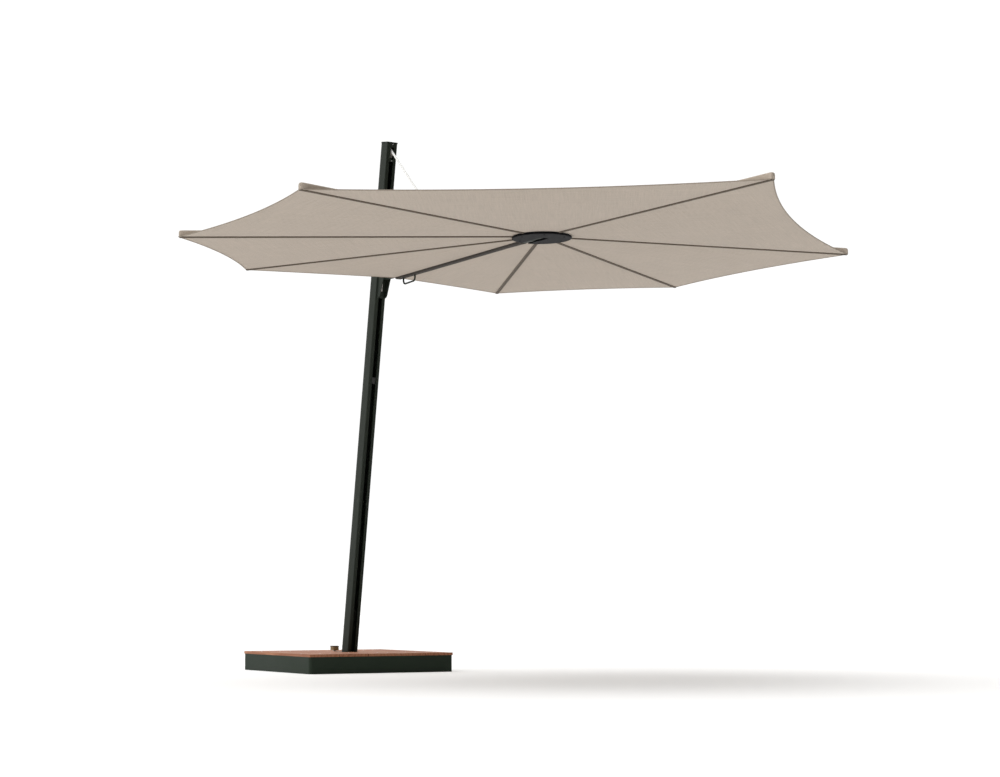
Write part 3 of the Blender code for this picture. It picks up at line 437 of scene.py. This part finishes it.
MATERIALS = {
    "frame_paint": powder_coat("frame_powder_coat", (0.0172, 0.0220, 0.0166), 0.48, 420.0, 0.10),
    "base_paint": powder_coat("base_powder_coat", (0.0176, 0.0262, 0.0180), 0.55, 300.0, 0.10),
    "deck_wood": deck_teak(),
    "tread_wood": tread_wood(),
    "ballast": cast_stone(),
    "bare_steel": plain_metal("stainless_steel", (0.60, 0.60, 0.61), 0.30),
    "pulley_nylon": moulded("pulley_nylon", (0.58, 0.58, 0.57), 0.5),
    "bronze": plain_metal("bearing_bronze", (0.46, 0.32, 0.15), 0.38),
    "shoe_rubber": moulded("brake_rubber", (0.018, 0.018, 0.018), 0.8),
    "slider_nylon": moulded("slider_nylon", (0.020, 0.020, 0.020), 0.55),
    "hub_paint": hub_finish((0.0045, 0.0045, 0.0052)),
    "rib_paint": powder_coat("rib_anodised", (0.110, 0.090, 0.072), 0.40, 500.0),
    "canopy_fabric": canopy_cloth((0.394, 0.334, 0.275)),
    "rope_fibre": braid((0.93, 0.93, 0.92)),
    "band": webbing("rib_webbing", (0.082, 0.064, 0.048), (0.30, 0.26, 0.21)),
    # painted shade: the cover webbing is made very dark to stand for the shaded arm in the slit
    "cover": webbing("cover_webbing_painted_shade", (0.034, 0.028, 0.023), (0.07, 0.06, 0.05)),
    "binding": webbing("edge_binding", (0.270, 0.228, 0.186), (0.40, 0.35, 0.29)),
    "pad": moulded("wear_pad", (0.62, 0.58, 0.56), 0.55),
}


def dress_nodes():
    """Give every carried-over CAD node the material of its slot in the record."""
    for node in NODES.values():
        for slot in node.material_slots:
            slot.material = MATERIALS[slot.material.name.split(".")[0]]


# ---- mesh helpers -----------------------------------------------------------------------------
SHARP_EDGE = math.radians(42)


def new_object(name, bm, material):
    """Turn a bmesh into a linked object with one material."""
    mesh = bpy.data.meshes.new(name)
    bm.to_mesh(mesh)
    bm.free()
    mesh.materials.append(material)
    item = bpy.data.objects.new(name, mesh)
    bpy.context.scene.collection.objects.link(item)
    return item


def make_piece(name, bm, material, body, placed=Matrix(), smooth=True):
    """Turn a bmesh into a piece in the row frame that rides on a body."""
    bm.transform(placed)
    piece = new_object(name, bm, MATERIALS[material])
    if smooth:
        piece.data.shade_smooth()
        piece.data.set_sharp_from_angle(angle=SHARP_EDGE)
    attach(piece, body)
    return piece


def skin(bm, rows, uv_of, closed=False):
    """Quads through a grid of points; each row joins the next, and a closed row joins its own ends."""
    layer = bm.loops.layers.uv.verify()
    grid = [[bm.verts.new(point) for point in row] for row in rows]
    columns = len(rows[0]) if closed else len(rows[0]) - 1
    for i in range(len(rows) - 1):
        for j in range(columns):
            k = (j + 1) % len(rows[0])
            face = bm.faces.new((grid[i][j], grid[i][k], grid[i + 1][k], grid[i + 1][j]))
            for loop, (a, b) in zip(face.loops, ((i, j), (i, j + 1), (i + 1, j + 1), (i + 1, j))):
                loop[layer].uv = uv_of(a, b)
    return grid


def swept_tube(bm, path, radius, sides=14, side=Vector((0, 1, 0))):
    """A capped round tube along a path of points, with UVs in turns round it and metres along it."""
    rows, lengths, run = [], [], 0.0
    for i, point in enumerate(path):
        here = (path[min(i + 1, len(path) - 1)] - path[max(i - 1, 0)]).normalized()
        first = here.cross(side).normalized()
        second = here.cross(first).normalized()
        rows.append([point + radius * (math.cos(a) * first + math.sin(a) * second)
                     for a in (2 * math.pi * k / sides for k in range(sides))])
        run += (point - path[i - 1]).length if i else 0.0
        lengths.append(run)
    grid = skin(bm, rows, lambda i, j: (j / sides, lengths[i]), True)
    bm.faces.new(grid[0][::-1])
    bm.faces.new(grid[-1])


def turned_shape(bm, profile, segments=28, matrix=Matrix()):
    """A profile of (radius, height) turned about z, with poles where the radius is 0."""
    rings = []
    for radius, z in profile:
        if radius == 0:
            rings.append([bm.verts.new(matrix @ Vector((0, 0, z)))])
        else:
            ring = (Vector((radius * math.cos(a), radius * math.sin(a), z))
                    for a in (2 * math.pi * k / segments for k in range(segments)))
            rings.append([bm.verts.new(matrix @ point) for point in ring])
    for low, high in zip(rings, rings[1:]):
        for k in range(segments):
            corners = (low[k % len(low)], low[(k + 1) % len(low)],
                       high[(k + 1) % len(high)], high[k % len(high)])
            bm.faces.new(list(dict.fromkeys(corners)))


# ---- canopy ------------------------------------------------------------------------------------
def polar(azimuth, radius, height):
    angle = math.radians(azimuth)
    return Vector((radius * math.cos(angle), radius * math.sin(angle), height))


def canopy_tips():
    """(azimuth, radius, height, rib's name) from the rear corner round to the rear corner."""
    right = [(-a, r, TIP_HEIGHT, f"right_{name}") for (a, r), name in zip(SIDE_RIBS[1:], RIB_NAMES)]
    left = [(a, r, TIP_HEIGHT, f"left_{name}") for (a, r), name in zip(SIDE_RIBS[1:], RIB_NAMES)]
    front = (*SIDE_RIBS[0], TIP_HEIGHT, "front")
    rear = (REAR_CORNER, REAR_DROP, None)
    return [(-180.0, *rear), *right[::-1], front, *left, (180.0, *rear)]


def gore_point(start, end, across, along):
    """A point of the sheet: across 0..1 between two tips, along 0..1 from the hub outwards."""
    hub = polar(start[0] + (end[0] - start[0]) * across, CANOPY_INNER, HUB_HEIGHT)
    tip_a, tip_b = polar(*start[:3]), polar(*end[:3])
    span = tip_b - tip_a
    inward = Vector((-span.y, span.x, 0)).normalized()
    share = REAR_HOLLOW if 180.0 in (abs(start[0]), abs(end[0])) else SIDE_HOLLOW
    edge = tip_a.lerp(tip_b, across) + inward * (4 * across * (1 - across) * share * span.length)
    point = hub.lerp(edge, along)
    droop = FABRIC_SAG * span.length * along * (1 - 0.9 * along ** 3) * math.sin(math.pi * across)
    return point + Vector((0, 0, FABRIC_LIFT - droop))


def beside_arm(point, across):
    """Open a rear gore at its inner side, so that the arm passes through the sheet."""
    side = -1 if across < 0.5 else 1
    return point + Vector((0, side * SLIT_HALF * abs(1 - 2 * across), 0))


def cloth_uv(start, end, point):
    """Metres in the gore's own plane: across its middle line, and along it."""
    middle = math.radians((start[0] + end[0]) / 2)
    return (-point.x * math.sin(middle) + point.y * math.cos(middle),
            point.x * math.cos(middle) + point.y * math.sin(middle))


def cloth_rows(start, end, shares, shift=None):
    """Grid of (point, uv) across part of a gore; shift moves the points after their UVs are set."""
    rows = []
    for across in shares:
        row = []
        for k in range(GORE_STEPS + 1):
            point = gore_point(start, end, across, k / GORE_STEPS)
            row.append((shift(point, across) if shift else point, cloth_uv(start, end, point)))
        rows.append(row)
    return rows


def cloth_mesh(parts):
    """A bmesh of one or two half gores that share the rib's line."""
    bm = bmesh.new()
    for rows in parts:
        points = [[point for point, _ in row] for row in rows]
        skin(bm, points, lambda i, j, rows=rows: rows[i][j][1])
    bmesh.ops.remove_doubles(bm, verts=bm.verts, dist=1e-6)
    bmesh.ops.recalc_face_normals(bm, faces=bm.faces)
    return bm


def fold(piece):
    """Give a piece its own copy of its mesh."""
    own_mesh(piece)


def edge_binding(name, edge, body):
    """Piping that binds the hollow outer edge."""
    bm = bmesh.new()
    swept_tube(bm, edge, BINDING_RADIUS, 8, Vector((0, 0, 1)))
    return make_piece(name, bm, "binding", body, CANOPY)


def half_shares(low):
    """Even steps across half a gore."""
    return [low + 0.5 * k / HALF_GORE_COLUMNS for k in range(HALF_GORE_COLUMNS + 1)]


def rib_panel(before, here, after):
    """The canopy from mid-gore to mid-gore about one rib, with its edge binding."""
    name = here[3]
    parts = [cloth_rows(before, here, half_shares(0.5)), cloth_rows(here, after, half_shares(0.0))]
    piece = make_piece(f"canopy_panel_{name}", cloth_mesh(parts), "canopy_fabric",
                       f"rib_{name}", CANOPY)
    edge = [row[-1][0] for row in parts[0] + parts[1][1:]]
    binding = edge_binding(f"edge_binding_{name}", edge, f"rib_{name}")
    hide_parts(f"canopy_{name}")
    fold(piece)
    fold(binding)


def rear_panel(side, start, end, shares):
    """Half of a rear gore, whose inner edge runs along the arm's side."""
    rows = cloth_rows(start, end, shares, beside_arm)
    piece = make_piece(f"canopy_panel_rear_{side}", cloth_mesh([rows]), "canopy_fabric",
                       "arm", CANOPY)
    binding = edge_binding(f"edge_binding_rear_{side}", [row[-1][0] for row in rows], "arm")
    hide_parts(f"canopy_rear_{side}")
    for part in (piece, binding):
        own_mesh(part)


def arm_cover():
    """Webbing that closes the slit in the sheet under the arm, from the hub to the rear corner, painted
    very dark as painted shade.
    """
    start, end, length = DISC_RADIUS + 0.002, REAR_CORNER - 0.004, 1.4
    arm_length = (HUB_PIN - ARM_PIVOT).length
    rows = []
    for k in range(BAND_STEPS + 1):
        reach = start + (end - start) * k / BAND_STEPS
        share = (reach - CANOPY_INNER) / (REAR_CORNER - CANOPY_INNER)
        sheet = HUB_HEIGHT + (REAR_DROP - HUB_HEIGHT) * share + FABRIC_LIFT
        under_arm = (CANOPY.inverted() @ (ARM @ Vector((arm_length - reach, 0, -ARM_HALF)))).z
        low = min(sheet - COVER_DROP, under_arm - COVER_CLEARANCE)
        rows.append([Vector((-reach, y * COVER_HALF, sheet + (low - sheet) * depth))
                     for y, depth in COVER_SECTION])
    bm = bmesh.new()
    skin(bm, rows, lambda i, j: (COVER_HALF * COVER_SECTION[j][0], length * i / BAND_STEPS))
    return make_piece("arm_cover", bm, "cover", "arm", CANOPY)


def rib_place(azimuth, radius):
    """Frame in the canopy's own space on a rib's line at a radius, x outwards along the rib."""
    fall = (HUB_HEIGHT - TIP_HEIGHT) * (radius - RIB_HINGE_RADIUS) / RIB_RUN
    return (Matrix.Rotation(math.radians(azimuth), 4, "Z")
            @ Matrix.Translation((radius, 0, HUB_HEIGHT - fall)))


def rib_band(name, azimuth, reach):
    """Webbing sewn under the rib, crowned across, with turned-in edges."""
    start, end = DISC_RADIUS - 0.006, reach - 0.004
    rows = []
    for k in range(BAND_STEPS + 1):
        place = rib_place(azimuth, start + (end - start) * k / BAND_STEPS)
        rows.append([place @ Vector((0, BAND_HALF * y, z)) for y, z in BAND_SECTION])
    bm = bmesh.new()
    skin(bm, rows, lambda i, j: (BAND_HALF * BAND_SECTION[j][0], reach * i / BAND_STEPS))
    make_piece(f"rib_band_{name}", bm, "band", f"rib_{name}", CANOPY)


def pocket_section(half, top):
    """Cross-section of the pocket over the rib: straight sides and a round back."""
    points = [(-half, POCKET_LOW)]
    for sign, start in ((-1, 180), (1, 90)):
        for k in range(5):
            angle = math.radians(start - 90 * k / 4)
            points.append((sign * (half - POCKET_CORNER) + POCKET_CORNER * math.cos(angle),
                           top - POCKET_CORNER + POCKET_CORNER * math.sin(angle)))
    return points + [(half, POCKET_LOW)]


def tip_pocket(name, azimuth, reach):
    """The sewn pocket that the rib's end sits in, rounded at the tip and flared at its mouth."""
    half = RIB_WIDTH / 2 + POCKET_EASE
    rows = []
    for share, wide, tall in POCKET_STATIONS:
        place = rib_place(azimuth, reach - POCKET_LENGTH + POCKET_LENGTH * share)
        rows.append([place @ Vector((0, y, z)) for y, z in pocket_section(half * wide, POCKET_TOP * tall)])
    bm = bmesh.new()
    point_step = 0.008          # metres of cloth between two points of the section, for the weave
    grid = skin(bm, rows, lambda i, j: (point_step * j, POCKET_LENGTH * POCKET_STATIONS[i][0]))
    bm.faces.new(grid[-1])
    bmesh.ops.recalc_face_normals(bm, faces=bm.faces)
    make_piece(f"tip_pocket_{name}", bm, "canopy_fabric", f"rib_{name}", CANOPY)


def build_canopy():
    tips = canopy_tips()
    for before, here, after in zip(tips, tips[1:], tips[2:]):
        rib_panel(before, here, after)
        rib_band(here[3], here[0], here[1])
        tip_pocket(here[3], here[0], here[1])
    cover = arm_cover()
    close = [0.5 * (k / REAR_COLUMNS) ** REAR_CROWDING for k in range(REAR_COLUMNS + 1)]
    rear_panel("right", tips[0], tips[1], close)
    rear_panel("left", tips[-2], tips[-1], [1 - share for share in close[::-1]])


# ---- rope ----------------------------------------------------------------------------------------
def sheave_centre():
    return MAST @ Vector((SHEAVE_FORWARD, 0, MAST_TOP - SHEAVE_DROP))


def rope_eye():
    return ARM @ Vector((LUG_REACH, 0, LUG_EYE))


def rope_leaves(centre, eye):
    """Angle round the sheave at which the rope leaves for the eye."""
    reach = eye - centre
    return math.atan2(reach.z, reach.x) + math.acos(SHEAVE_GROOVE / reach.length)


def build_rope():
    """The upper strand, its whipped end, the two parts on the sheave, and the strand in the mast."""
    centre, eye = sheave_centre(), rope_eye()
    leaves = rope_leaves(centre, eye)

    def on_groove(angle):
        return centre + SHEAVE_GROOVE * Vector((math.cos(angle), 0, math.sin(angle)))

    top = on_groove(leaves)
    along = (eye - top).normalized()
    bm = bmesh.new()
    stop = (eye - top).length - ROPE_END_GAP
    swept_tube(bm, [top + along * stop * k / 40 for k in range(41)], ROPE_RADIUS)
    strand = make_piece("rope_strand_upper", bm, "rope_fibre", "stay_rope")
    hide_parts("rope_upper")
    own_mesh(strand)
    bm = bmesh.new()
    first = stop - WHIPPING_INSET - WHIPPING_LENGTH
    swept_tube(bm, [top + along * (first + WHIPPING_LENGTH * k / 12) for k in range(13)],
               ROPE_RADIUS + WHIPPING_THICKNESS)
    whipping = make_piece("rope_whipping", bm, "band", "stay_rope")
    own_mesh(whipping)
    bm = bmesh.new()
    swept_tube(bm, [on_groove(leaves + ROPE_WRAP * (1 - k / 10)) for k in range(11)], ROPE_RADIUS)
    make_piece("rope_over_sheave", bm, "rope_fibre", "stay_rope")
    behind = math.pi - MAST_LEAN
    slimmer = ROPE_RADIUS - 0.0005          # so that the swinging part covers it
    bm = bmesh.new()
    swept_tube(bm, [on_groove(behind + (leaves - behind) * k / 14) for k in range(15)], slimmer)
    make_piece("rope_behind_sheave", bm, "rope_fibre", "mast")
    lower_strand()


def lower_strand():
    """The strand in the mast's track, over the length of the CAD strand it stands in for."""
    low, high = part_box("rope_lower")
    head = MAST.inverted() @ Vector((high[0], 0, high[2]))
    foot = MAST.inverted() @ Vector((low[0], 0, low[2]))
    behind = SHEAVE_FORWARD - SHEAVE_GROOVE
    path = [MAST @ Vector((behind, 0, head.z + (foot.z - head.z) * k / 30)) for k in range(31)]
    bm = bmesh.new()
    swept_tube(bm, path, ROPE_RADIUS)
    strand = new_object("rope_strand_lower", bm, MATERIALS["rope_fibre"])
    strand.data.shade_smooth()
    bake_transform(strand)
    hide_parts("rope_lower")


def lug_pin():
    """A flanged cross pin in the arm's lug, which holds the rope's end."""
    lie = Matrix.Translation(rope_eye()) @ Matrix.Rotation(math.radians(90), 4, "X")
    bm = bmesh.new()
    turned_shape(bm, LUG_PIN_SECTION, 24, lie)
    make_piece("lug_cross_pin", bm, "bare_steel", "arm")


def wear_strip():
    """A light slip pad on the bracket's base plate, between the cheeks and under the arm."""
    pivot = MAST.inverted() @ ARM_PIVOT
    low = Vector((BRACKET_FACE, WEAR_STRIP_WIDTH[0], pivot.z + WEAR_STRIP_FALL[0]))
    high = Vector((BRACKET_FACE + WEAR_STRIP_THICKNESS, WEAR_STRIP_WIDTH[1], pivot.z + WEAR_STRIP_FALL[1]))
    place = MAST @ Matrix.Translation((low + high) / 2) @ Matrix.Diagonal((*(high - low), 1))
    bm = bmesh.new()
    bmesh.ops.create_cube(bm, size=1.0, matrix=place)
    make_piece("bracket_wear_strip", bm, "pad", "carriage", smooth=False)


# ---- fixings ----------------------------------------------------------------------------------------
def screw(bm, place, radius, tall=0.0022):
    """A button-head screw with a socket, standing on a surface whose outward side is +z."""
    profile = [(0.0, tall * 0.35), (radius * 0.42, tall * 0.35), (radius * 0.46, tall),
               (radius * 0.80, tall * 0.82), (radius, tall * 0.25), (radius, -0.0006)]
    turned_shape(bm, profile, 20, place)


def facing(direction):
    return Vector((0, 0, 1)).rotation_difference(Vector(direction)).to_matrix().to_4x4()


def screw_set(name, places, body, radius, material="bare_steel"):
    """A row of equal screws as one piece, which has the slot of its material's name."""
    bm = bmesh.new()
    for place in places:
        screw(bm, place, radius)
    make_piece(name, bm, material, body)


def build_screws():
    plate = MAST_TOP - SHEAVE_DROP + HEAD_PLATE_RAISE
    head = [MAST @ Matrix.Translation((HEAD_PLATE_FACE, 0, plate + height)) @ facing((1, 0, 0))
            for height in HEAD_SCREW_HEIGHTS]
    screw_set("head_plate_screws", head, "mast", 0.0035)
    on_disc = Matrix.Translation((DISC_SCREW_CIRCLE, 0, 0)) @ facing((0, 0, -1))
    disc = [CANOPY @ Matrix.Rotation(math.radians(60 * k + 30), 4, "Z") @ on_disc for k in range(6)]
    screw_set("hub_disc_screws", disc, "hub", 0.0055, "hub_paint")
    board_screws()


def board_screws():
    """Two screws through each board into each batten."""
    places = []
    for x in (-BATTEN_OFFSET, BATTEN_OFFSET):
        for number in range(BOARD_COUNT):
            for offset in (-DECK_SCREW_OFFSET, DECK_SCREW_OFFSET):
                y = (number - BOARD_COUNT // 2) * BOARD_PITCH + offset
                places.append(BASE @ Matrix.Translation((x, y, DECK_TOP - DECK_SCREW_SINK)))
    screw_set("deck_screws", places, "base", 0.0042)


# ---- stage ------------------------------------------------------------------------------------------
def build_floor():
    bm = bmesh.new()
    bmesh.ops.create_grid(bm, x_segments=1, y_segments=1, size=FLOOR_HALF)
    g = Graph("studio_floor_white", (0.86, 0.86, 0.86), 0.95, 0.0, 0.0)
    g.shader.inputs["Emission Color"].default_value = (1, 1, 1, 1)
    g.shader.inputs["Emission Strength"].default_value = 0.04
    new_object("studio_floor", bm, g.material)


def sky_glow(tree, direction, span, strength):
    """A smooth rise of the light's strength towards a direction."""
    coordinates = tree.nodes.new("ShaderNodeTexCoord")
    toward = tree.nodes.new("ShaderNodeVectorMath")
    toward.operation = "DOT_PRODUCT"
    toward.inputs[1].default_value = Vector(direction).normalized()
    rise = tree.nodes.new("ShaderNodeMapRange")
    rise.interpolation_type = "SMOOTHSTEP"
    for socket, value in zip(rise.inputs[1:5], (*span, *strength)):
        socket.default_value = value
    tree.links.new(coordinates.outputs["Generated"], toward.inputs[0])
    tree.links.new(toward.outputs["Value"], rise.inputs[0])
    return rise.outputs[0]


def build_world():
    """A soft dome with a glow overhead, brighter on the camera's left, and plain white to the camera."""
    world = bpy.data.worlds.new("studio_dome")
    world.use_nodes = True
    tree = world.node_tree
    tree.nodes.clear()
    side = sky_glow(tree, (-0.72, -0.50, 0.48), (-0.75, 0.85), (0.10, 1.46))
    overhead = sky_glow(tree, (-0.17, -0.15, 0.97), (0.84, 0.99), (0.0, 1.9))
    dome = tree.nodes.new("ShaderNodeBackground")
    seen = tree.nodes.new("ShaderNodeBackground")
    dome.inputs["Color"].default_value = (1.0, 0.995, 0.985, 1)
    seen.inputs["Color"].default_value = (1, 1, 1, 1)
    seen.inputs["Strength"].default_value = 1.05
    path = tree.nodes.new("ShaderNodeLightPath")
    choose = tree.nodes.new("ShaderNodeMixShader")
    output = tree.nodes.new("ShaderNodeOutputWorld")
    total = tree.nodes.new("ShaderNodeMath")
    tree.links.new(side, total.inputs[0])
    tree.links.new(overhead, total.inputs[1])
    tree.links.new(total.outputs[0], dome.inputs["Strength"])
    tree.links.new(path.outputs["Is Camera Ray"], choose.inputs[0])
    tree.links.new(dome.outputs[0], choose.inputs[1])
    tree.links.new(seen.outputs[0], choose.inputs[2])
    tree.links.new(choose.outputs[0], output.inputs[0])
    bpy.context.scene.world = world


def build_camera():
    data = bpy.data.cameras.new("photo_camera")
    data.sensor_width = CAMERA_SENSOR
    data.lens = CAMERA_LENS
    data.clip_end = 500
    camera = bpy.data.objects.new("photo_camera", data)
    camera.location = CAMERA_PLACE
    camera.rotation_euler = (CAMERA_PITCH, 0, CAMERA_HEADING)
    bpy.context.scene.collection.objects.link(camera)
    bpy.context.scene.camera = camera
    bpy.context.scene.view_settings.view_transform = "Standard"


build_camera()
build_world()
build_floor()
dress_nodes()
build_canopy()
build_rope()
lug_pin()
wear_strip()
build_screws()
